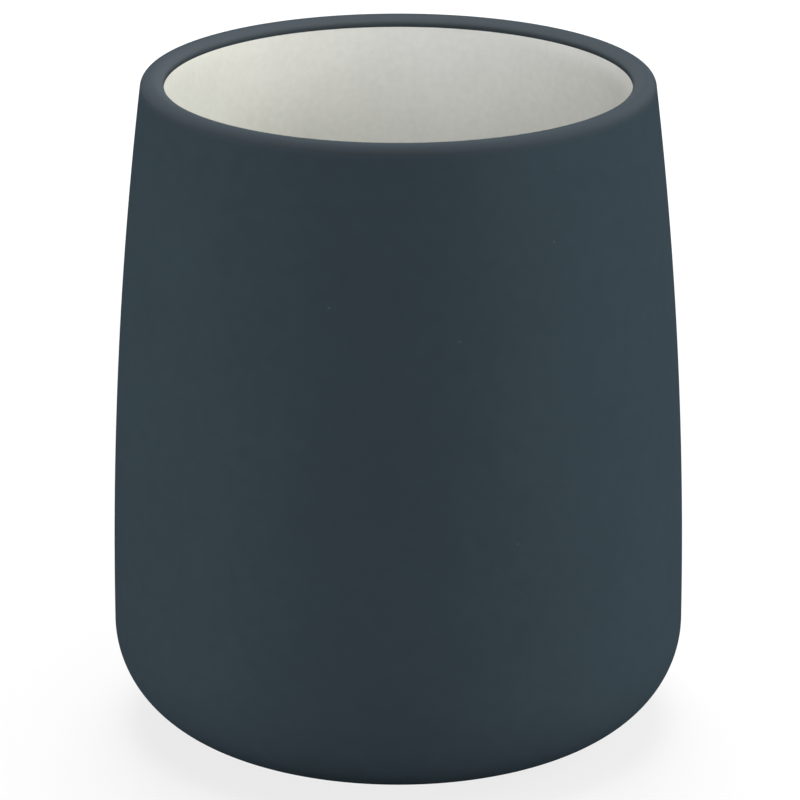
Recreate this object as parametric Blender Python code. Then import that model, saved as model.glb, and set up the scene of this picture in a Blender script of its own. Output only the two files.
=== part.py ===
"""Round ceramic pen holder, turned about the Z axis and standing on z = 0.

A cast ceramic pot carries two skins. A dark soft-touch lacquer covers the outside, goes over the lip and
ends a little way down inside the mouth. A pale glaze covers the inside from there to the floor. A foam pad,
held by an adhesive disc in a recess of the underside, keeps the pot off the desk.

The finished surfaces are set by the driving sizes below. Every layer under them is the same outline at a
depth below the finished surface, so the skins and the ceramic follow one another.
"""

import math

import bmesh
import bpy

MM = 0.001

# Finished outside
POT_DIAMETER = 90.0 * MM
POT_HEIGHT = 104.0 * MM
SIDE_BOW_RADIUS = 693.0 * MM
BASE_CORNER_RADIUS = 16.0 * MM

# Wall, lip and floor, skins included
WALL_THICKNESS = 3.65 * MM
LIP_OUTER_RADIUS = 1.5 * MM
LIP_INNER_RADIUS = 3.0 * MM
LIP_EDGE_RADIUS = 0.8 * MM
INNER_CORNER_RADIUS = 12.0 * MM
FLOOR_THICKNESS = 4.0 * MM

# Skins, and the gap that every two touching pieces keep
COAT_THICKNESS = 0.3 * MM
GLAZE_THICKNESS = 0.3 * MM
SEAT_GAP = 0.3 * MM
COAT_DROP_IN_MOUTH = 1.65 * MM

# Underside
FOOT_RING_WIDTH = 4.5 * MM
FOOT_EDGE_RADIUS = 0.5 * MM
RECESS_DEPTH = 2.0 * MM
ADHESIVE_THICKNESS = 0.3 * MM
ADHESIVE_INSET = 1.0 * MM
PAD_SIDE_CLEARANCE = 0.5 * MM
PAD_PROUD = 0.6 * MM
PAD_EDGE_RADIUS = 0.25 * MM

# Faceting
ROUND_STEPS = 60
SIDE_STEPS = 5
CORNER_STEPS = 8
LIP_STEPS = 4
EDGE_STEPS = 2
SHARP_ANGLE = math.radians(40)
WELD_DISTANCE = 0.001 * MM

# Finishes, as a linear RGB colour and a roughness
BISCUIT = ((0.72, 0.69, 0.63), 0.85)
DARK_LACQUER = ((0.036, 0.053, 0.063), 0.6)
PALE_GLAZE = ((0.68, 0.67, 0.60), 0.35)
ADHESIVE_FILM = ((0.75, 0.75, 0.72), 0.5)
BLACK_FOAM = ((0.03, 0.03, 0.032), 0.9)

# Centres that all layers share, as (radius, height) from the foot plane
WIDEST_RADIUS = POT_DIAMETER / 2
SIDE_CENTRE = (WIDEST_RADIUS - SIDE_BOW_RADIUS, BASE_CORNER_RADIUS)
CORNER_CENTRE = (WIDEST_RADIUS - BASE_CORNER_RADIUS, BASE_CORNER_RADIUS)
INNER_BOW_RADIUS = SIDE_BOW_RADIUS - WALL_THICKNESS
FLOOR_HEIGHT = RECESS_DEPTH + FLOOR_THICKNESS
FOOT_RING_RADIUS = CORNER_CENTRE[0] - SEAT_GAP
RECESS_RADIUS = FOOT_RING_RADIUS - FOOT_RING_WIDTH
COAT_END_HEIGHT = POT_HEIGHT - COAT_DROP_IN_MOUTH


def centre_on_side(distance, height):
    """A centre at that height, at that distance from the centre of the side's bow."""
    rise = height - SIDE_CENTRE[1]
    return (SIDE_CENTRE[0] + math.sqrt(distance**2 - rise**2), height)


def upper_meeting(centre_a, distance_a, centre_b, distance_b):
    """The upper of the two points that lie at one distance from one centre and at another from the other."""
    gap = math.dist(centre_a, centre_b)
    way = ((centre_b[0] - centre_a[0]) / gap, (centre_b[1] - centre_a[1]) / gap)
    along = (gap**2 + distance_a**2 - distance_b**2) / (2 * gap)
    aside = math.sqrt(distance_a**2 - along**2)
    return (centre_a[0] + way[0] * along - way[1] * aside, centre_a[1] + way[1] * along + way[0] * aside)


LIP_OUTER_CENTRE = centre_on_side(SIDE_BOW_RADIUS - LIP_OUTER_RADIUS, POT_HEIGHT - LIP_OUTER_RADIUS)
LIP_INNER_CENTRE = (LIP_OUTER_CENTRE[0], POT_HEIGHT - LIP_INNER_RADIUS)
LIP_EDGE_CENTRE = upper_meeting(
    SIDE_CENTRE, INNER_BOW_RADIUS + LIP_EDGE_RADIUS, LIP_INNER_CENTRE, LIP_INNER_RADIUS - LIP_EDGE_RADIUS
)
INNER_CORNER_CENTRE = centre_on_side(
    INNER_BOW_RADIUS - INNER_CORNER_RADIUS, FLOOR_HEIGHT + INNER_CORNER_RADIUS
)


def side_angle(centre):
    """Angle of a centre as seen from the centre of the side's bow."""
    return math.atan2(centre[1] - SIDE_CENTRE[1], centre[0] - SIDE_CENTRE[0])


def arc(centre, radius, start, end, steps):
    """Points of an arc from one angle to another, both ends included."""
    turn = (end - start) / steps
    return [
        (centre[0] + radius * math.cos(start + turn * k), centre[1] + radius * math.sin(start + turn * k))
        for k in range(steps + 1)
    ]


def outer_outline(depth):
    """Up the base corner and the side, and over the lip's outer edge, at a depth below the finish."""
    lip_start = side_angle(LIP_OUTER_CENTRE)
    corner = arc(CORNER_CENTRE, BASE_CORNER_RADIUS - depth, -math.pi / 2, 0, CORNER_STEPS)
    side = arc(SIDE_CENTRE, SIDE_BOW_RADIUS - depth, 0, lip_start, SIDE_STEPS)
    lip = arc(LIP_OUTER_CENTRE, LIP_OUTER_RADIUS - depth, lip_start, math.pi / 2, LIP_STEPS)
    return corner + side[1:] + lip[1:]


def inner_lip_outline(depth):
    """From the lip's crown down its wide inner round, and over the tighter one to where the inner wall begins."""
    turn = math.atan2(LIP_EDGE_CENTRE[1] - LIP_INNER_CENTRE[1], LIP_EDGE_CENTRE[0] - LIP_INNER_CENTRE[0])
    wall_start = math.pi + side_angle(LIP_EDGE_CENTRE)
    slope = arc(LIP_INNER_CENTRE, LIP_INNER_RADIUS - depth, math.pi / 2, turn, LIP_STEPS)
    edge = arc(LIP_EDGE_CENTRE, LIP_EDGE_RADIUS - depth, turn, wall_start, LIP_STEPS)
    return slope[1:] + edge[1:]


def inner_wall_radius_at(height, depth):
    """Radius of the inner wall at a height, at a depth below the finish."""
    return centre_on_side(INNER_BOW_RADIUS + depth, height)[0]


def inner_outline(depth, top_height):
    """Down the inner wall from a height, round the inner corner and across the floor to the axis."""
    top_angle = math.asin((top_height - SIDE_CENTRE[1]) / (INNER_BOW_RADIUS + depth))
    corner_start = side_angle(INNER_CORNER_CENTRE)
    wall = arc(SIDE_CENTRE, INNER_BOW_RADIUS + depth, top_angle, corner_start, SIDE_STEPS)
    corner = arc(INNER_CORNER_CENTRE, INNER_CORNER_RADIUS + depth, corner_start, -math.pi / 2, CORNER_STEPS)
    return wall + corner[1:] + [(0, FLOOR_HEIGHT - depth)]


def turned(name, outline, finish):
    """A solid of revolution. An outline that starts and ends on the axis is open, and any other is closed."""
    shape = bmesh.new()
    points = [shape.verts.new((radius, 0, height)) for radius, height in outline]
    edges = [shape.edges.new(pair) for pair in zip(points, points[1:])]
    if outline[0][0] > 0:
        edges.append(shape.edges.new((points[-1], points[0])))
    bmesh.ops.spin(
        shape, geom=points + edges, axis=(0, 0, 1), cent=(0, 0, 0), angle=2 * math.pi, steps=ROUND_STEPS
    )
    bmesh.ops.remove_doubles(shape, verts=shape.verts, dist=WELD_DISTANCE)
    bmesh.ops.recalc_face_normals(shape, faces=shape.faces)
    mesh = bpy.data.meshes.new(name)
    shape.to_mesh(mesh)
    shape.free()
    mesh.shade_smooth()
    mesh.set_sharp_from_angle(angle=SHARP_ANGLE)
    mesh.materials.append(finish)
    piece = bpy.data.objects.new(name, mesh)
    bpy.context.collection.objects.link(piece)
    return piece


def material(name, look):
    """A plain non-metal finish."""
    colour, roughness = look
    finish = bpy.data.materials.new(name)
    finish.use_nodes = True
    shader = finish.node_tree.nodes["Principled BSDF"]
    shader.inputs["Base Color"].default_value = (*colour, 1)
    shader.inputs["Roughness"].default_value = roughness
    shader.inputs["Metallic"].default_value = 0
    return finish


def ceramic_body():
    """The cast pot: wall, lip, floor and foot ring, under both skins."""
    outer_depth = COAT_THICKNESS + SEAT_GAP
    inner_depth = GLAZE_THICKNESS + SEAT_GAP
    recess_edge_centre = (RECESS_RADIUS + FOOT_EDGE_RADIUS, FOOT_EDGE_RADIUS)
    recess_edge = arc(recess_edge_centre, FOOT_EDGE_RADIUS, math.pi, 3 * math.pi / 2, EDGE_STEPS)
    foot_edge_centre = (FOOT_RING_RADIUS - FOOT_EDGE_RADIUS, FOOT_EDGE_RADIUS)
    foot_edge = arc(foot_edge_centre, FOOT_EDGE_RADIUS, -math.pi / 2, 0, EDGE_STEPS)
    underside = [(0, RECESS_DEPTH), (RECESS_RADIUS, RECESS_DEPTH)] + recess_edge + foot_edge
    shoulder = [(FOOT_RING_RADIUS, outer_depth)]
    wall_top = COAT_END_HEIGHT - SEAT_GAP
    outline = underside + shoulder + outer_outline(outer_depth) + inner_lip_outline(outer_depth)
    outline += [(inner_wall_radius_at(COAT_END_HEIGHT, outer_depth), COAT_END_HEIGHT)]
    outline += inner_outline(inner_depth, wall_top)
    return turned("ceramic_body", outline, material("biscuit_stoneware", BISCUIT))


def soft_touch_coat():
    """The dark lacquer skin, from the foot ring up the outside, over the lip and into the mouth."""
    finished = outer_outline(0) + inner_lip_outline(0)
    finished += [(inner_wall_radius_at(COAT_END_HEIGHT, 0), COAT_END_HEIGHT)]
    bonded = outer_outline(COAT_THICKNESS) + inner_lip_outline(COAT_THICKNESS)
    bonded += [(inner_wall_radius_at(COAT_END_HEIGHT, COAT_THICKNESS), COAT_END_HEIGHT)]
    outline = finished + bonded[::-1]
    return turned("soft_touch_coat", outline, material("soft_touch_lacquer", DARK_LACQUER))


def inner_glaze():
    """The pale glaze skin, from below the lacquer's edge down the inner wall and across the floor."""
    top = COAT_END_HEIGHT - SEAT_GAP
    outline = inner_outline(0, top)[::-1] + inner_outline(GLAZE_THICKNESS, top)
    return turned("inner_glaze", outline, material("satin_white_glaze", PALE_GLAZE))


def disc_outline(radius, low, high, edge_radius):
    """A disc from its lower face to its upper face, with its lower edge rounded."""
    edge = arc((radius - edge_radius, low + edge_radius), edge_radius, -math.pi / 2, 0, EDGE_STEPS)
    return [(0, low)] + edge + [(radius, high), (0, high)]


def base_pad_adhesive():
    """The adhesive disc under the ceiling of the recess."""
    high = RECESS_DEPTH - SEAT_GAP
    low = high - ADHESIVE_THICKNESS
    radius = RECESS_RADIUS - PAD_SIDE_CLEARANCE - ADHESIVE_INSET
    outline = [(0, low), (radius, low), (radius, high), (0, high)]
    return turned("base_pad_adhesive", outline, material("adhesive_film", ADHESIVE_FILM))


def base_pad():
    """The foam disc that fills the recess and stands proud of the foot ring."""
    high = RECESS_DEPTH - SEAT_GAP - ADHESIVE_THICKNESS - SEAT_GAP
    outline = disc_outline(RECESS_RADIUS - PAD_SIDE_CLEARANCE, -PAD_PROUD, high, PAD_EDGE_RADIUS)
    return turned("base_pad", outline, material("foam_rubber", BLACK_FOAM))


def build():
    """Clears the scene and stands the pieces on z = 0, with the pot's foot plane lifted by the pad."""
    for thing in list(bpy.data.objects):
        bpy.data.objects.remove(thing)
    pen_holder = bpy.data.objects.new("pen_holder", None)
    bpy.context.collection.objects.link(pen_holder)
    pen_holder.location = (0, 0, PAD_PROUD)
    for make in (ceramic_body, soft_touch_coat, inner_glaze, base_pad_adhesive, base_pad):
        make().parent = pen_holder


build()
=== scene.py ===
"""Looks of the round ceramic pen holder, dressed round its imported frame.

Every piece is one outline in (radius, height), spun about the Z axis by one geometry tree. The outlines
repeat the construction's arcs with finer facets, and close the gaps that its separate solids keep: the
lacquer lies on the clay, and laps a little way over the glaze inside the mouth. Lengths are metres in the
frame's own axes.
"""

import math

import bpy
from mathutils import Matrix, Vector


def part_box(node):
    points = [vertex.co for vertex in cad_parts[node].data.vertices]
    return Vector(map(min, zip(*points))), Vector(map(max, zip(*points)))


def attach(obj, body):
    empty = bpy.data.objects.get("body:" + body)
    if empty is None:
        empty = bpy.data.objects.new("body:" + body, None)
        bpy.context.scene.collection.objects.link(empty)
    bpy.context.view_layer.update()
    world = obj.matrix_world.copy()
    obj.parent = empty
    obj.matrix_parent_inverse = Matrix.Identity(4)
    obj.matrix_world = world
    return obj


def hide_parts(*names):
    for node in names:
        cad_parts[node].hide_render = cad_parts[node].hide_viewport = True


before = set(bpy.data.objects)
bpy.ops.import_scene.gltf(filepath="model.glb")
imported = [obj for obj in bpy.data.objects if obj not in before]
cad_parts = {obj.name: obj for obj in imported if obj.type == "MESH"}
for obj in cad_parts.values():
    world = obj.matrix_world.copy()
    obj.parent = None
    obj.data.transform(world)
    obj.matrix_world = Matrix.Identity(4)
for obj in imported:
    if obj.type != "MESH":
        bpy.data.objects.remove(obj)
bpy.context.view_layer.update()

MM = 0.001

# Sizes that the frame gives
COAT_LOW, COAT_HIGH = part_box("soft_touch_coat")
GLAZE_LOW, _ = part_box("inner_glaze")
FILM_LOW, FILM_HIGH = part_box("base_pad_adhesive")
PAD_LOW, PAD_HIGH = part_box("base_pad")
WIDEST = -COAT_LOW.x
FOOT = COAT_LOW.z
RIM = COAT_HIGH.z

# Sizes that the construction sets, repeated here
SIDE_BOW_RADIUS = 693.0 * MM
BASE_CORNER_RADIUS = 16.0 * MM
WALL = 3.65 * MM
LIP_OUTER_RADIUS = 1.5 * MM
LIP_INNER_RADIUS = 3.0 * MM
LIP_EDGE_RADIUS = 0.8 * MM
INNER_CORNER_RADIUS = 12.0 * MM
GLAZE_THICKNESS = 0.3 * MM
COAT_DROP_IN_MOUTH = 1.65 * MM
FOOT_RING_WIDTH = 4.5 * MM
FOOT_EDGE_RADIUS = 0.5 * MM
RECESS_DEPTH = 2.0 * MM
PAD_SIDE_CLEARANCE = 0.5 * MM
PAD_EDGE_RADIUS = 0.25 * MM
FLOOR = GLAZE_LOW.z + GLAZE_THICKNESS

# The looks' own sizes: how thick the skins are drawn, and how they end
LACQUER_THICKNESS = 0.22 * MM
LACQUER_EDGE = 0.075 * MM
LACQUER_PAST_CORNER = 0.15 * MM
GLAZE_UNDER_LACQUER = 0.08 * MM
GLAZE_LAP = 0.2 * MM
SEAM = 0.02 * MM
RECESS_COVE = 0.4 * MM

# How far a facet may lie from its arc, where it shows and where it doesn't
SHOWN_SAG = 0.002 * MM
HIDDEN_SAG = 0.05 * MM
STEPS_ROUND = 320
WELD = 0.001 * MM
SHARP_ANGLE = math.radians(40)

# The map that each piece's finish is laid out on when it is painted to an image
MAP_NAME = "OFBake"
HIDDEN_MAP_SHARE = 0.1

# Centres of the construction's arcs, as (radius, height)
SIDE_CENTRE = (WIDEST - SIDE_BOW_RADIUS, FOOT + BASE_CORNER_RADIUS)
CORNER_CENTRE = (WIDEST - BASE_CORNER_RADIUS, FOOT + BASE_CORNER_RADIUS)
INNER_BOW_RADIUS = SIDE_BOW_RADIUS - WALL
COAT_END = RIM - COAT_DROP_IN_MOUTH
RECESS = PAD_HIGH.x + PAD_SIDE_CLEARANCE
FOOT_RING = RECESS + FOOT_RING_WIDTH
RECESS_CEILING = FOOT + RECESS_DEPTH

# The photograph's camera, as the pot's outline in the picture gives it
FRAME_PIXELS = 800
FOCAL_PIXELS = 4591
POT_CENTRE_COLUMN = 398.3
SENSOR_WIDTH = 36
CAMERA_DISTANCE = 680.2 * MM
CAMERA_HEIGHT = 287.05 * MM + FOOT
CAMERA_PITCH = math.radians(19.107)

# The floor and the even light. Near the pot the floor keeps its shadow, and further out it is white
FLOOR_SIZE = 6.0
FLOOR_GAP = 0.05 * MM
FLOOR_SHADOW_COLOUR = "#616161"
FLOOR_BOUNCE_COLOUR = "#C0C0C0"
FLOOR_GLOW = 0.8
SHADOW_REACH = 0.2
FULL_GLOW_FROM = 0.6
SURROUNDINGS_LEVEL = 0.075

# The lamps: square softboxes, a flatter one in front, and two low cards that graze the pot's sides
BOX_DISTANCE = 1.5
BOX_SIDE = 0.9
FRONT_BOX_HEIGHT = 0.5
CARD_DISTANCE = 1.2
CARD_WIDTH = 0.6
CARD_HEIGHT = 0.18
CARD_ELEVATION = 2.27

# Each lamp's name, azimuth and elevation in degrees, distance, width, height and level
LAMPS = (
    ("softbox_front", 0, 10, BOX_DISTANCE, BOX_SIDE, FRONT_BOX_HEIGHT, 0.385),
    ("softbox_top", 0, 90, BOX_DISTANCE, BOX_SIDE, BOX_SIDE, 0.85),
    ("softbox_back_top", 180, 68, BOX_DISTANCE, BOX_SIDE, BOX_SIDE, 0.6),
    ("softbox_back", 180, 45, BOX_DISTANCE, BOX_SIDE, BOX_SIDE, 0.35),
    ("softbox_back_low", 180, 25, BOX_DISTANCE, BOX_SIDE, BOX_SIDE, 0.3),
    ("softbox_right", 90, 30, BOX_DISTANCE, BOX_SIDE, BOX_SIDE, 0.54),
    ("card_right", 90, CARD_ELEVATION, CARD_DISTANCE, CARD_WIDTH, CARD_HEIGHT, 0.35),
    ("card_left", -90, CARD_ELEVATION, CARD_DISTANCE, CARD_WIDTH, CARD_HEIGHT, 0.59),
)


def centre_on_side(distance, height):
    """A centre at that height, at that distance from the centre of the side's bow."""
    rise = height - SIDE_CENTRE[1]
    return (SIDE_CENTRE[0] + math.sqrt(distance**2 - rise**2), height)


def upper_meeting(centre_a, distance_a, centre_b, distance_b):
    """The upper of the two points that lie at one distance from one centre and at another from the other."""
    gap = math.dist(centre_a, centre_b)
    way = ((centre_b[0] - centre_a[0]) / gap, (centre_b[1] - centre_a[1]) / gap)
    along = (gap**2 + distance_a**2 - distance_b**2) / (2 * gap)
    aside = math.sqrt(distance_a**2 - along**2)
    return (centre_a[0] + way[0] * along - way[1] * aside, centre_a[1] + way[1] * along + way[0] * aside)


def side_angle(centre):
    """Angle of a centre as seen from the centre of the side's bow."""
    return math.atan2(centre[1] - SIDE_CENTRE[1], centre[0] - SIDE_CENTRE[0])


LIP_OUTER_CENTRE = centre_on_side(SIDE_BOW_RADIUS - LIP_OUTER_RADIUS, RIM - LIP_OUTER_RADIUS)
LIP_INNER_CENTRE = (LIP_OUTER_CENTRE[0], RIM - LIP_INNER_RADIUS)
LIP_EDGE_CENTRE = upper_meeting(
    SIDE_CENTRE, INNER_BOW_RADIUS + LIP_EDGE_RADIUS, LIP_INNER_CENTRE, LIP_INNER_RADIUS - LIP_EDGE_RADIUS
)
INNER_CORNER_CENTRE = centre_on_side(
    INNER_BOW_RADIUS - INNER_CORNER_RADIUS, FLOOR + INNER_CORNER_RADIUS
)

# How wide the mouth is, from the axis to where the lacquer ends
MOUTH = centre_on_side(INNER_BOW_RADIUS, COAT_END)[0]


def arc(centre, radius, start, end, sag=SHOWN_SAG):
    """Points of an arc from one angle to another, as many as keep its facets within the sag."""
    steps = max(2, math.ceil(abs(end - start) / (2 * math.acos(1 - min(1, sag / radius)))))
    turn = (end - start) / steps
    return [
        (centre[0] + radius * math.cos(start + turn * k), centre[1] + radius * math.sin(start + turn * k))
        for k in range(steps + 1)
    ]


def inner_wall_point(height, depth):
    """The inner wall at a height, at a depth below the finish."""
    return centre_on_side(INNER_BOW_RADIUS + depth, height)


def outer_outline(depth, sag):
    """Up the base corner and the side, and over the lip's outer edge."""
    lip_start = side_angle(LIP_OUTER_CENTRE)
    return (
        arc(CORNER_CENTRE, BASE_CORNER_RADIUS - depth, -math.pi / 2, 0, sag)
        + arc(SIDE_CENTRE, SIDE_BOW_RADIUS - depth, 0, lip_start, sag)[1:]
        + arc(LIP_OUTER_CENTRE, LIP_OUTER_RADIUS - depth, lip_start, math.pi / 2, sag)[1:]
    )


def inner_lip_outline(depth, sag):
    """From the lip's crown down its wide inner round, and over the tighter one to the inner wall."""
    turn = math.atan2(LIP_EDGE_CENTRE[1] - LIP_INNER_CENTRE[1], LIP_EDGE_CENTRE[0] - LIP_INNER_CENTRE[0])
    wall_start = math.pi + side_angle(LIP_EDGE_CENTRE)
    slope = arc(LIP_INNER_CENTRE, LIP_INNER_RADIUS - depth, math.pi / 2, turn, sag)
    edge = arc(LIP_EDGE_CENTRE, LIP_EDGE_RADIUS - depth, turn, wall_start, sag)
    return slope[1:] + edge[1:]


def shown(points):
    """A stretch of outline whose surface can be seen."""
    return [(radius, height, 1.0) for radius, height in points]


def hidden(points):
    """A stretch of outline that lies against another piece. Its surface takes little room on the map."""
    return [(radius, height, HIDDEN_MAP_SHARE) for radius, height in points]


def inner_outline(depth, top_height, sag):
    """Down the inner wall from a height, round the inner corner and across the floor to the axis."""
    top_angle = math.asin((top_height - SIDE_CENTRE[1]) / (INNER_BOW_RADIUS + depth))
    corner_start = side_angle(INNER_CORNER_CENTRE)
    return (
        arc(SIDE_CENTRE, INNER_BOW_RADIUS + depth, top_angle, corner_start, sag)
        + arc(INNER_CORNER_CENTRE, INNER_CORNER_RADIUS + depth, corner_start, -math.pi / 2, sag)[1:]
        + [(0, FLOOR - depth)]
    )


def add(tree, kind, inputs=None, **settings):
    """A new node. Inputs are values, or sockets to link, by name or index. Settings are its properties."""
    node = tree.nodes.new(kind)
    for name, value in settings.items():
        setattr(node, name, value)
    for socket, value in (inputs or {}).items():
        if isinstance(value, bpy.types.NodeSocket):
            tree.links.new(value, node.inputs[socket])
        else:
            node.inputs[socket].default_value = value
    return node


def lathe_tree():
    """Spins an outline, given as a mesh line in the XZ plane, about Z. The outline runs anticlockwise round
    the solid. Its points carry how far along it they are, from 0 to 1: the height on the piece's map."""
    tree = bpy.data.node_groups.new("lathe", "GeometryNodeTree")
    for name, kind in (
        ("Outline", "NodeSocketGeometry"),
        ("Steps Round", "NodeSocketInt"),
        ("Weld Distance", "NodeSocketFloat"),
        ("Finish", "NodeSocketMaterial"),
    ):
        tree.interface.new_socket(name, in_out="INPUT", socket_type=kind)
    tree.interface.new_socket("Piece", in_out="OUTPUT", socket_type="NodeSocketGeometry")
    given = add(tree, "NodeGroupInput").outputs

    counts = add(tree, "GeometryNodeAttributeDomainSize", {"Geometry": given["Outline"]}).outputs
    points = counts["Point Count"]
    steps = given["Steps Round"]
    columns = add(tree, "FunctionNodeIntegerMath", {0: steps, 1: 1}, operation="ADD").outputs[0]
    sheet = add(tree, "GeometryNodeMeshGrid", {"Vertices X": columns, "Vertices Y": points}).outputs["Mesh"]

    index = add(tree, "GeometryNodeInputIndex").outputs[0]
    column = add(tree, "FunctionNodeIntegerMath", {0: index, 1: points}, operation="DIVIDE_FLOOR").outputs[0]
    row = add(tree, "FunctionNodeIntegerMath", {0: index, 1: points}, operation="MODULO").outputs[0]
    place = add(tree, "GeometryNodeInputPosition").outputs[0]
    outline_point = add(
        tree,
        "GeometryNodeSampleIndex",
        {"Geometry": given["Outline"], "Value": place, "Index": row},
        data_type="FLOAT_VECTOR",
    ).outputs[0]
    along = add(tree, "GeometryNodeInputNamedAttribute", {"Name": "along"}, data_type="FLOAT").outputs[0]
    outline_share = add(
        tree,
        "GeometryNodeSampleIndex",
        {"Geometry": given["Outline"], "Value": along, "Index": row},
        data_type="FLOAT",
    ).outputs[0]
    turns = add(tree, "ShaderNodeMath", {0: column, 1: steps}, operation="DIVIDE").outputs[0]
    angle = add(tree, "ShaderNodeMath", {0: turns, 1: 2 * math.pi}, operation="MULTIPLY").outputs[0]
    turned_point = add(
        tree,
        "ShaderNodeVectorRotate",
        {"Vector": outline_point, "Angle": angle},
        rotation_type="Z_AXIS",
    ).outputs[0]

    spun = add(tree, "GeometryNodeSetPosition", {"Geometry": sheet, "Position": turned_point}).outputs[0]
    map_place = add(tree, "ShaderNodeCombineXYZ", {"X": turns, "Y": outline_share}).outputs[0]
    map_place = add(
        tree, "GeometryNodeFieldOnDomain", {"Value": map_place}, data_type="FLOAT_VECTOR", domain="POINT"
    ).outputs[0]
    mapped = add(
        tree,
        "GeometryNodeStoreNamedAttribute",
        {"Geometry": spun, "Name": MAP_NAME, "Value": map_place},
        data_type="FLOAT2",
        domain="CORNER",
    ).outputs[0]
    welded = add(
        tree, "GeometryNodeMergeByDistance", {"Geometry": mapped, "Distance": given["Weld Distance"]}
    ).outputs[0]
    whole = add(tree, "GeometryNodeRealizeInstances", {"Geometry": welded}).outputs[0]
    finished = add(
        tree, "GeometryNodeSetMaterial", {"Geometry": whole, "Material": given["Finish"]}
    ).outputs[0]
    add(tree, "NodeGroupOutput", {"Piece": finished})
    return tree


LATHE = lathe_tree()


def turned(name, outline, finish):
    """A piece spun from its outline, which stays open if it starts and ends on the axis, and else closes."""
    if outline[0][0] > 0:
        outline = outline + outline[:1]
    line = bpy.data.meshes.new(name)
    line.from_pydata(
        [(radius, 0, height) for radius, height, _ in outline],
        [(k, k + 1) for k in range(len(outline) - 1)],
        [],
    )
    lengths = [math.dist(a[:2], b[:2]) * b[2] for a, b in zip(outline, outline[1:])]
    along = [sum(lengths[:k]) / sum(lengths) for k in range(len(outline))]
    line.attributes.new("along", "FLOAT", "POINT").data.foreach_set("value", along)
    piece = bpy.data.objects.new(name, line)
    bpy.context.scene.collection.objects.link(piece)
    sizes = {"Steps Round": STEPS_ROUND, "Weld Distance": WELD, "Finish": finish}
    lathe = piece.modifiers.new("lathe", "NODES")
    lathe.node_group = LATHE
    for socket in LATHE.interface.items_tree:
        if socket.name in sizes:
            lathe[socket.identifier] = sizes[socket.name]
    spun = piece.evaluated_get(bpy.context.evaluated_depsgraph_get())
    piece.data = bpy.data.meshes.new_from_object(spun)
    piece.modifiers.clear()
    # The mesh comes with an empty slot before its finish's
    piece.data.materials.pop(index=0)
    piece.data.shade_smooth()
    piece.data.set_sharp_from_angle(angle=SHARP_ANGLE)
    return piece


def linear(hex_colour):
    """An sRGB colour such as #336699, as the linear RGBA that a node takes."""
    shares = [int(hex_colour[k : k + 2], 16) / 255 for k in (1, 3, 5)]
    return [s / 12.92 if s <= 0.04045 else ((s + 0.055) / 1.055) ** 2.4 for s in shares] + [1.0]


# The Mix node's sockets for colours, which share their names with its sockets for numbers
MIX_A, MIX_B, MIX_RESULT = 6, 7, 2
MIX_FLOAT_A, MIX_FLOAT_B = 2, 3

# A noise pattern lies almost wholly between these
NOISE_LOW, NOISE_HIGH = 0.3, 0.7


def new_finish(name, roughness, ior, specular=0.5):
    """A material with one Principled shader, and its object coordinates."""
    finish = bpy.data.materials.new(name)
    finish.use_nodes = True
    tree = finish.node_tree
    shader = tree.nodes["Principled BSDF"]
    shader.inputs["Roughness"].default_value = roughness
    shader.inputs["IOR"].default_value = ior
    shader.inputs["Specular IOR Level"].default_value = specular
    place = add(tree, "ShaderNodeTexCoord").outputs["Object"]
    return finish, tree, shader, place


def weighted_sum(tree, parts):
    """One number from several patterns, each times its weight."""
    total = 0.0
    for pattern, weight in parts:
        inputs = {0: pattern, 1: weight, 2: total}
        total = add(tree, "ShaderNodeMath", inputs, operation="MULTIPLY_ADD").outputs[0]
    return total


def distance_from_axis(tree, place):
    """How far a place is from the pot's axis."""
    flat_place = add(tree, "ShaderNodeVectorMath", {0: place, 1: (1, 1, 0)}, operation="MULTIPLY").outputs[0]
    return add(tree, "ShaderNodeVectorMath", {0: flat_place}, operation="LENGTH").outputs["Value"]


def relief(tree, shader, layers):
    """Gives a finish its fine surface, from patterns and how high each one stands in metres."""
    height = weighted_sum(tree, layers)
    surface = add(tree, "ShaderNodeBump", {"Height": height, "Distance": 1.0}).outputs[0]
    tree.links.new(surface, shader.inputs["Normal"])


def blended(tree, share, colour, other, way="MIX"):
    """The colour where the share is 0. Where it is 1, the other, or the two multiplied."""
    inputs = {"Factor": share, MIX_A: colour, MIX_B: other}
    return add(tree, "ShaderNodeMix", inputs, data_type="RGBA", blend_type=way).outputs[MIX_RESULT]


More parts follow.
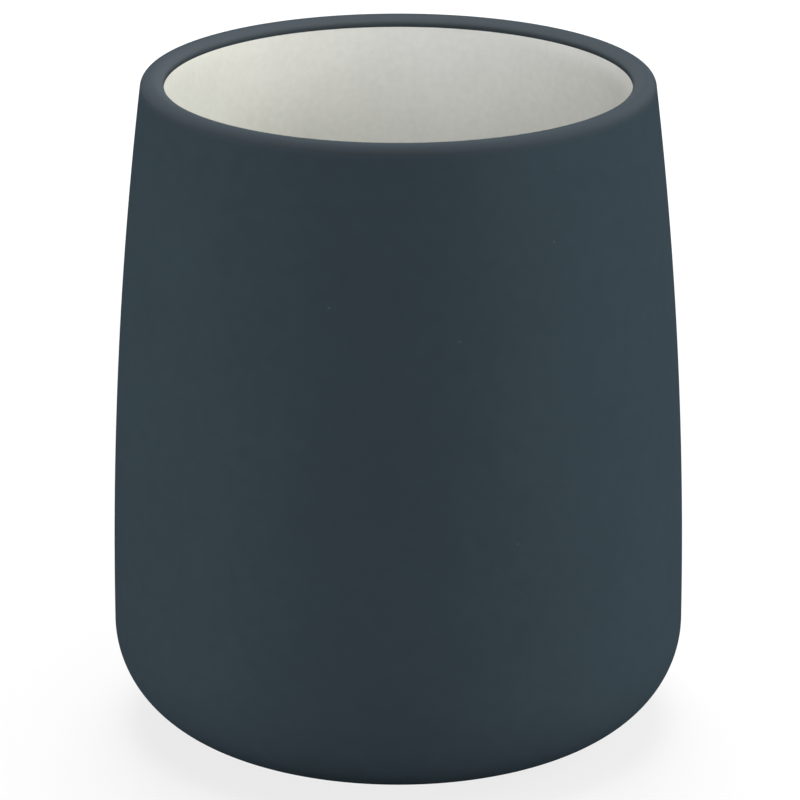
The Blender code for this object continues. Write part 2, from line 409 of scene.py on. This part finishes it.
def soft_touch_lacquer():
    """Soft-touch polyurethane lacquer, sprayed on the fired pot: a velvety slate that swallows light and
    shows no clear reflection. Its tone drifts faintly from pass to pass of the spray gun and mottles with its
    orange peel. On the lip it is painted lighter and greyer, the more so toward the mouth, as a painted
    highlight. Close to, it has a dry grain over a shallow orange peel, and nibs of dry spray."""
    roughness = 0.8
    roughness_spread = 0.04
    finish, tree, shader, place = new_finish(
        "soft_touch_polyurethane_lacquer", roughness, ior=1.5, specular=0.0
    )
    drift_size = 22 * MM
    peel_size = 2.4 * MM
    peel_height = 0.01 * MM
    # The real grain is about 0.05 mm, too fine to show, so it is drawn coarser
    grain_size = 0.35 * MM
    grain_height = 0.003 * MM
    nib_spacing = 8 * MM
    nib_radius = 0.3 * MM
    nib_height = 0.03 * MM
    drift_weight, peel_weight = 0.5, 0.5
    # The lip's painted highlight comes in between these depths below the rim
    lip_painted_highlight_starts = 2.2 * MM
    lip_painted_highlight_full = 0.55 * MM

    drift = add(
        tree, "ShaderNodeTexNoise", {"Vector": place, "Scale": 1 / drift_size, "Detail": 3.0}
    ).outputs[0]
    peel = add(
        tree, "ShaderNodeTexNoise", {"Vector": place, "Scale": 1 / peel_size, "Detail": 1.0}
    ).outputs[0]
    grain = add(
        tree, "ShaderNodeTexNoise", {"Vector": place, "Scale": 1 / grain_size, "Detail": 2.0}
    ).outputs[0]
    from_nib = add(
        tree, "ShaderNodeTexVoronoi", {"Vector": place, "Scale": 1 / nib_spacing}
    ).outputs["Distance"]
    nib = add(
        tree,
        "ShaderNodeMapRange",
        {"Value": from_nib, "From Max": nib_radius / nib_spacing, "To Min": 1.0, "To Max": 0.0},
        interpolation_type="SMOOTHSTEP",
    ).outputs[0]

    height = add(tree, "ShaderNodeSeparateXYZ", {"Vector": place}).outputs["Z"]
    # Painted highlight: where the lip is painted lighter and greyer
    on_lip_painted_highlight = add(
        tree,
        "ShaderNodeMapRange",
        {"Value": height, "From Min": RIM - lip_painted_highlight_starts, "From Max": RIM - lip_painted_highlight_full},
        interpolation_type="SMOOTHSTEP",
    ).outputs[0]

    # Painted highlight: the lip is painted lighter still toward the mouth
    painted_highlight_toward_mouth = add(
        tree,
        "ShaderNodeMapRange",
        {"Value": distance_from_axis(tree, place), "From Min": LIP_OUTER_CENTRE[0], "From Max": MOUTH},
    ).outputs[0]

    uneven = weighted_sum(tree, ((drift, drift_weight), (peel, peel_weight)))
    tone = blended(tree, uneven, linear("#2C363B"), linear("#333E45"))
    # Painted highlight on the lip, lighter toward the mouth
    lip_painted_highlight = blended(tree, painted_highlight_toward_mouth, linear("#383F44"), linear("#43494D"))
    tone = blended(tree, on_lip_painted_highlight, tone, lip_painted_highlight)
    tone = blended(tree, nib, tone, linear("#435057"))
    tree.links.new(tone, shader.inputs["Base Color"])
    matt = add(
        tree,
        "ShaderNodeMapRange",
        {
            "Value": grain,
            "From Min": NOISE_LOW,
            "From Max": NOISE_HIGH,
            "To Min": roughness - roughness_spread,
            "To Max": roughness + roughness_spread,
        },
    ).outputs[0]
    tree.links.new(matt, shader.inputs["Roughness"])
    relief(tree, shader, ((grain, grain_height), (peel, peel_height), (nib, nib_height)))
    return finish


def satin_glaze():
    """Satin white stoneware glaze, poured in, drained and fired: softly glossy. Draining left faint upright
    runs, and firing left a fine mottle. It is painted darker with depth down the inside, and darker and
    creamier over the floor and in the bottom corner, as painted shade. The side at -X is painted warmer,
    as painted warm light."""
    roughness = 0.42
    roughness_spread = 0.04
    finish, tree, shader, place = new_finish("satin_white_stoneware_glaze", roughness, ior=1.5)
    drift_size = 9 * MM
    drift_height = 0.012 * MM
    mottle_size = 1.1 * MM
    mottle_height = 0.003 * MM
    run_width = 2.6 * MM
    run_length = 45 * MM
    run_height = 0.004 * MM
    drift_weight, mottle_weight, run_weight = 0.25, 0.6, 0.15
    # Painted shade deepens down the inside between these two heights
    painted_depth_shade_starts = RIM - 8 * MM
    painted_depth_shade_full = RIM - 60 * MM
    # Painted warm light comes in across X between these two places
    painted_warm_light_from = 5 * MM
    painted_warm_light_to = -30 * MM

    drift = add(
        tree, "ShaderNodeTexNoise", {"Vector": place, "Scale": 1 / drift_size, "Detail": 2.0}
    ).outputs[0]
    mottle = add(
        tree, "ShaderNodeTexNoise", {"Vector": place, "Scale": 1 / mottle_size, "Detail": 4.0}
    ).outputs[0]
    drained = add(
        tree, "ShaderNodeMapping", {"Vector": place, "Scale": (1 / run_width, 1 / run_width, 1 / run_length)}
    ).outputs[0]
    run = add(tree, "ShaderNodeTexNoise", {"Vector": drained, "Scale": 1.0, "Detail": 2.0}).outputs[0]
    across, _, height = add(tree, "ShaderNodeSeparateXYZ", {"Vector": place}).outputs
    # Painted shade: the glaze is darker with depth down the inside
    painted_depth_shade = add(
        tree, "ShaderNodeMapRange", {"Value": height, "From Min": painted_depth_shade_starts, "From Max": painted_depth_shade_full}
    ).outputs[0]
    # Painted shade: darker and creamier over the floor and in the bottom corner
    painted_floor_shade = add(
        tree,
        "ShaderNodeMapRange",
        {"Value": height, "From Min": FLOOR + INNER_CORNER_RADIUS, "From Max": FLOOR},
        interpolation_type="SMOOTHSTEP",
    ).outputs[0]
    # Painted warm light: the glaze is warmer toward the side at -X
    painted_warm_light = add(
        tree, "ShaderNodeMapRange", {"Value": across, "From Min": painted_warm_light_from, "From Max": painted_warm_light_to}
    ).outputs[0]

    mix = weighted_sum(tree, ((drift, drift_weight), (mottle, mottle_weight), (run, run_weight)))
    mix = add(
        tree, "ShaderNodeMapRange", {"Value": mix, "From Min": NOISE_LOW, "From Max": NOISE_HIGH}
    ).outputs[0]
    tone = blended(tree, mix, linear("#F0F0F0"), linear("#F9F9F9"))
    # Painted warm light on the -X side
    tone = blended(tree, painted_warm_light, tone, linear("#FAFAF1"), "MULTIPLY")
    # Painted shade with depth
    tone = blended(tree, painted_depth_shade, tone, linear("#E8E9E8"), "MULTIPLY")
    # Painted shade on the floor and in the bottom corner
    tone = blended(tree, painted_floor_shade, tone, linear("#E5E3DB"), "MULTIPLY")
    tree.links.new(tone, shader.inputs["Base Color"])
    satin = add(
        tree,
        "ShaderNodeMapRange",
        {
            "Value": mottle,
            "From Min": NOISE_LOW,
            "From Max": NOISE_HIGH,
            "To Min": roughness - roughness_spread,
            "To Max": roughness + roughness_spread,
        },
    ).outputs[0]
    tree.links.new(satin, shader.inputs["Roughness"])
    relief(tree, shader, ((drift, drift_height), (mottle, mottle_height), (run, run_height)))
    return finish


def biscuit_clay():
    """Stoneware clay, cast in a mould and fired without glaze, which shows under the foot: pale, sandy and
    fully matt, with specks of iron, and a dusting of stray lacquer round the outside of the foot ring."""
    finish, tree, shader, place = new_finish("biscuit_stoneware", roughness=0.9, ior=1.5, specular=0.3)
    drift_size = 14 * MM
    sand_size = 0.4 * MM
    sand_height = 0.02 * MM
    speck_spacing = 1.7 * MM
    speck_radius = 0.16 * MM
    dusting_width = 1.6 * MM

    drift = add(
        tree, "ShaderNodeTexNoise", {"Vector": place, "Scale": 1 / drift_size, "Detail": 3.0}
    ).outputs[0]
    sand = add(
        tree, "ShaderNodeTexNoise", {"Vector": place, "Scale": 1 / sand_size, "Detail": 3.0}
    ).outputs[0]
    from_speck = add(
        tree, "ShaderNodeTexVoronoi", {"Vector": place, "Scale": 1 / speck_spacing}
    ).outputs["Distance"]
    speck = add(
        tree,
        "ShaderNodeMapRange",
        {"Value": from_speck, "From Max": speck_radius / speck_spacing, "To Min": 1.0, "To Max": 0.0},
        interpolation_type="SMOOTHSTEP",
    ).outputs[0]
    broken_edge = weighted_sum(tree, ((distance_from_axis(tree, place), 1.0), (sand, dusting_width)))
    dusting = add(
        tree,
        "ShaderNodeMapRange",
        {
            "Value": broken_edge,
            "From Min": FOOT_RING - dusting_width / 2,
            "From Max": FOOT_RING + dusting_width / 2,
        },
        interpolation_type="SMOOTHSTEP",
    ).outputs[0]

    tone = blended(tree, drift, linear("#CFC7B8"), linear("#DBD4C7"))
    tone = blended(tree, speck, tone, linear("#8B6D52"))
    tone = blended(tree, dusting, tone, linear("#4A545A"))
    tree.links.new(tone, shader.inputs["Base Color"])
    relief(tree, shader, ((sand, sand_height),))
    return finish


def closed_cell_foam():
    """Closed-cell foam rubber, split from a block and die cut: near black and dull, with open cut cells."""
    finish, tree, shader, place = new_finish("closed_cell_foam_rubber", roughness=0.92, ior=1.5, specular=0.2)
    cell_size = 0.35 * MM
    cell_depth = 0.12 * MM
    drift_size = 8 * MM

    cell = add(tree, "ShaderNodeTexVoronoi", {"Vector": place, "Scale": 1 / cell_size}).outputs["Distance"]
    drift = add(
        tree, "ShaderNodeTexNoise", {"Vector": place, "Scale": 1 / drift_size, "Detail": 2.0}
    ).outputs[0]
    tone = blended(tree, drift, linear("#1F2022"), linear("#27282A"))
    tone = blended(tree, cell, tone, linear("#3A3B3D"))
    tree.links.new(tone, shader.inputs["Base Color"])
    relief(tree, shader, ((cell, cell_depth),))
    return finish


def tissue_tape():
    """Double-sided tissue tape: a web of fine fibres soaked in clear adhesive, milky and a little shiny."""
    finish, tree, shader, place = new_finish("double_sided_tissue_tape", roughness=0.45, ior=1.47)
    fibre_width = 0.15 * MM
    fibre_length = 3 * MM
    fibre_height = 0.01 * MM

    fine, coarse = 1 / fibre_width, 1 / fibre_length
    webs = []
    for scale in (fine, coarse, fine), (coarse, fine, coarse):
        stretched = add(tree, "ShaderNodeMapping", {"Vector": place, "Scale": scale}).outputs[0]
        inputs = {"Vector": stretched, "Scale": 1.0, "Detail": 2.0}
        webs.append(add(tree, "ShaderNodeTexNoise", inputs).outputs[0])
    web = weighted_sum(tree, [(fibres, 1 / len(webs)) for fibres in webs])
    tone = blended(tree, web, linear("#CBC8BC"), linear("#E4E1D8"))
    tree.links.new(tone, shader.inputs["Base Color"])
    relief(tree, shader, ((web, fibre_height),))
    return finish


def lacquer_coat():
    """The lacquer skin, from the foot ring up the outside and over the lip, to where it laps the glaze."""
    lap_top = COAT_END + GLAZE_LAP + SEAM
    half = LACQUER_THICKNESS / 2
    lower_end = (CORNER_CENTRE[0] - LACQUER_PAST_CORNER, FOOT + half)
    mouth_end = inner_wall_point(COAT_END + LACQUER_EDGE, LACQUER_EDGE)
    outline = shown(outer_outline(0, SHOWN_SAG)[1:] + inner_lip_outline(0, SHOWN_SAG))
    outline += shown(arc(mouth_end, LACQUER_EDGE, math.pi, 1.5 * math.pi))
    outline += hidden([inner_wall_point(lap_top, LACQUER_EDGE), inner_wall_point(lap_top, LACQUER_THICKNESS)])
    outline += hidden(inner_lip_outline(LACQUER_THICKNESS, HIDDEN_SAG)[::-1])
    outline += hidden(outer_outline(LACQUER_THICKNESS, HIDDEN_SAG)[::-1])
    outline += hidden(arc(lower_end, half, math.pi / 2, math.pi))
    outline += shown(arc(lower_end, half, math.pi, 1.5 * math.pi)[1:])
    return turned("soft_touch_lacquer", outline, soft_touch_lacquer())


def glaze_lining():
    """The glaze, from under the lacquer's edge down the inner wall and across the floor."""
    top = COAT_END + GLAZE_LAP
    outline = hidden(inner_outline(GLAZE_THICKNESS, top, HIDDEN_SAG)[::-1])
    outline += shown(inner_outline(GLAZE_UNDER_LACQUER, top, SHOWN_SAG))
    return turned("glaze_lining", outline, satin_glaze())


def clay_pot():
    """The cast clay under both skins. Its foot ring and the recess inside it are what shows."""
    depth = LACQUER_THICKNESS + SEAM
    cove_centre = (RECESS - RECESS_COVE, RECESS_CEILING - RECESS_COVE)
    ring_low = FOOT + FOOT_EDGE_RADIUS
    dip = math.asin((depth - FOOT_EDGE_RADIUS) / FOOT_EDGE_RADIUS)
    outline = shown([(0, RECESS_CEILING)] + arc(cove_centre, RECESS_COVE, math.pi / 2, 0))
    outline += shown(arc((RECESS + FOOT_EDGE_RADIUS, ring_low), FOOT_EDGE_RADIUS, math.pi, 1.5 * math.pi))
    outline += shown(arc((FOOT_RING - FOOT_EDGE_RADIUS, ring_low), FOOT_EDGE_RADIUS, -math.pi / 2, dip))
    outline += hidden(outer_outline(depth, HIDDEN_SAG) + inner_lip_outline(depth, HIDDEN_SAG))
    outline += hidden(inner_outline(GLAZE_THICKNESS + SEAM, COAT_END + GLAZE_LAP + 2 * SEAM, HIDDEN_SAG))
    return turned("clay_pot", outline, biscuit_clay())


def foam_pad():
    """The die-cut foam disc that the pot stands on."""
    high = FILM_LOW.z - SEAM
    edge = PAD_HIGH.x - PAD_EDGE_RADIUS
    outline = shown([(0, PAD_LOW.z)])
    outline += shown(arc((edge, PAD_LOW.z + PAD_EDGE_RADIUS), PAD_EDGE_RADIUS, -math.pi / 2, 0))
    outline += shown(arc((edge, high - PAD_EDGE_RADIUS), PAD_EDGE_RADIUS, 0, math.pi / 2))
    outline += hidden([(0, high)])
    return turned("foam_base_pad", outline, closed_cell_foam())


def tape_disc():
    """The tape between the pad and the ceiling of the recess."""
    high = RECESS_CEILING - SEAM
    outline = hidden([(0, FILM_LOW.z)]) + shown([(FILM_HIGH.x, FILM_LOW.z), (FILM_HIGH.x, high)])
    outline += hidden([(0, high)])
    return turned("pad_tape_disc", outline, tissue_tape())


def seen_directly(tree):
    """1 for what the camera sees, directly, in gloss or through glass, and 0 for what only lights things."""
    rays = add(tree, "ShaderNodeLightPath").outputs
    seen = rays["Is Camera Ray"]
    for kind in ("Is Glossy Ray", "Is Transmission Ray"):
        seen = add(tree, "ShaderNodeMath", {0: seen, 1: rays[kind]}, operation="MAXIMUM").outputs[0]
    return seen


def floor():
    """The pale floor. It shows white to the camera and in gloss, and keeps the object's shadow near the pot.
    Further out it glows a full white, so that where a lamp's light ends on it doesn't show."""
    finish = bpy.data.materials.new("studio_floor")
    finish.use_nodes = True
    tree = finish.node_tree
    tree.nodes.clear()
    paint = add(tree, "ShaderNodeBsdfDiffuse", {"Color": linear(FLOOR_SHADOW_COLOUR)}).outputs[0]
    bounce = add(tree, "ShaderNodeBsdfDiffuse", {"Color": linear(FLOOR_BOUNCE_COLOUR)}).outputs[0]
    place = add(tree, "ShaderNodeTexCoord").outputs["Object"]
    strength = add(
        tree,
        "ShaderNodeMapRange",
        {
            "Value": distance_from_axis(tree, place),
            "From Min": SHADOW_REACH,
            "From Max": FULL_GLOW_FROM,
            "To Min": FLOOR_GLOW,
            "To Max": 1.0,
        },
    ).outputs[0]
    glow = add(tree, "ShaderNodeEmission", {"Strength": strength}).outputs[0]
    white = add(tree, "ShaderNodeAddShader", {0: paint, 1: glow}).outputs[0]
    either = add(tree, "ShaderNodeMixShader", {0: seen_directly(tree), 1: bounce, 2: white}).outputs[0]
    add(tree, "ShaderNodeOutputMaterial", {"Surface": either})
    mesh = bpy.data.meshes.new("studio_floor")
    half = FLOOR_SIZE / 2
    corners = [(-half, -half), (half, -half), (half, half), (-half, half)]
    mesh.from_pydata([(x, y, PAD_LOW.z - FLOOR_GAP) for x, y in corners], [], [(0, 1, 2, 3)])
    mesh.materials.append(finish)
    ground = bpy.data.objects.new("studio_floor", mesh)
    bpy.context.scene.collection.objects.link(ground)


def softbox(name, azimuth, elevation, distance, width, height, level):
    """A soft lamp that faces the pot. Azimuth 0 is the camera's side and 90 its right. Alone, it would light
    a white card that faces it to its level, where 1 is white."""
    lamp = bpy.data.lights.new(name, "AREA")
    lamp.shape = "RECTANGLE"
    lamp.size = width
    lamp.size_y = height
    lamp.energy = level * (math.pi * distance) ** 2
    box = bpy.data.objects.new(name, lamp)
    turn, rise = math.radians(azimuth), math.radians(elevation)
    way = Vector((math.sin(turn) * math.cos(rise), -math.cos(turn) * math.cos(rise), math.sin(rise)))
    box.location = Vector((0, 0, RIM / 2)) + way * distance
    box.rotation_euler = way.to_track_quat("Z", "Y").to_euler()
    box.visible_camera = False
    bpy.context.scene.collection.objects.link(box)


def surroundings():
    """The even light from all round. To the camera, in gloss and through glass it is the white background."""
    world = bpy.data.worlds.new("studio")
    world.use_nodes = True
    tree = world.node_tree
    tree.nodes.clear()
    inputs = {"Factor": seen_directly(tree), MIX_FLOAT_A: SURROUNDINGS_LEVEL, MIX_FLOAT_B: 1.0}
    level = add(tree, "ShaderNodeMix", inputs).outputs["Result"]
    light = add(tree, "ShaderNodeBackground", {"Color": linear("#FFFFFF"), "Strength": level}).outputs[0]
    add(tree, "ShaderNodeOutputWorld", {"Surface": light})
    bpy.context.scene.world = world


def camera():
    """The photograph's camera."""
    lens = bpy.data.cameras.new("camera")
    lens.sensor_width = SENSOR_WIDTH
    lens.lens = FOCAL_PIXELS * SENSOR_WIDTH / FRAME_PIXELS
    lens.shift_x = (FRAME_PIXELS / 2 - POT_CENTRE_COLUMN) / FRAME_PIXELS
    lens.dof.use_dof = False
    seen_from = bpy.data.objects.new("camera", lens)
    seen_from.location = (0, -CAMERA_DISTANCE, CAMERA_HEIGHT)
    seen_from.rotation_euler = (math.pi / 2 - CAMERA_PITCH, 0, 0)
    bpy.context.scene.collection.objects.link(seen_from)
    bpy.context.scene.camera = seen_from


for make, node, slot in (
    (lacquer_coat, "soft_touch_coat", "soft_touch_lacquer"),
    (glaze_lining, "inner_glaze", "white_glaze"),
    (clay_pot, "ceramic_body", "biscuit_ceramic"),
    (foam_pad, "base_pad", "foam_rubber"),
    (tape_disc, "base_pad_adhesive", "adhesive_film"),
):
    piece = make()
    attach(piece, "root")
    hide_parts(node)

floor()
for lamp in LAMPS:
    softbox(*lamp)
surroundings()
camera()
bpy.context.scene.view_settings.view_transform = "Standard"
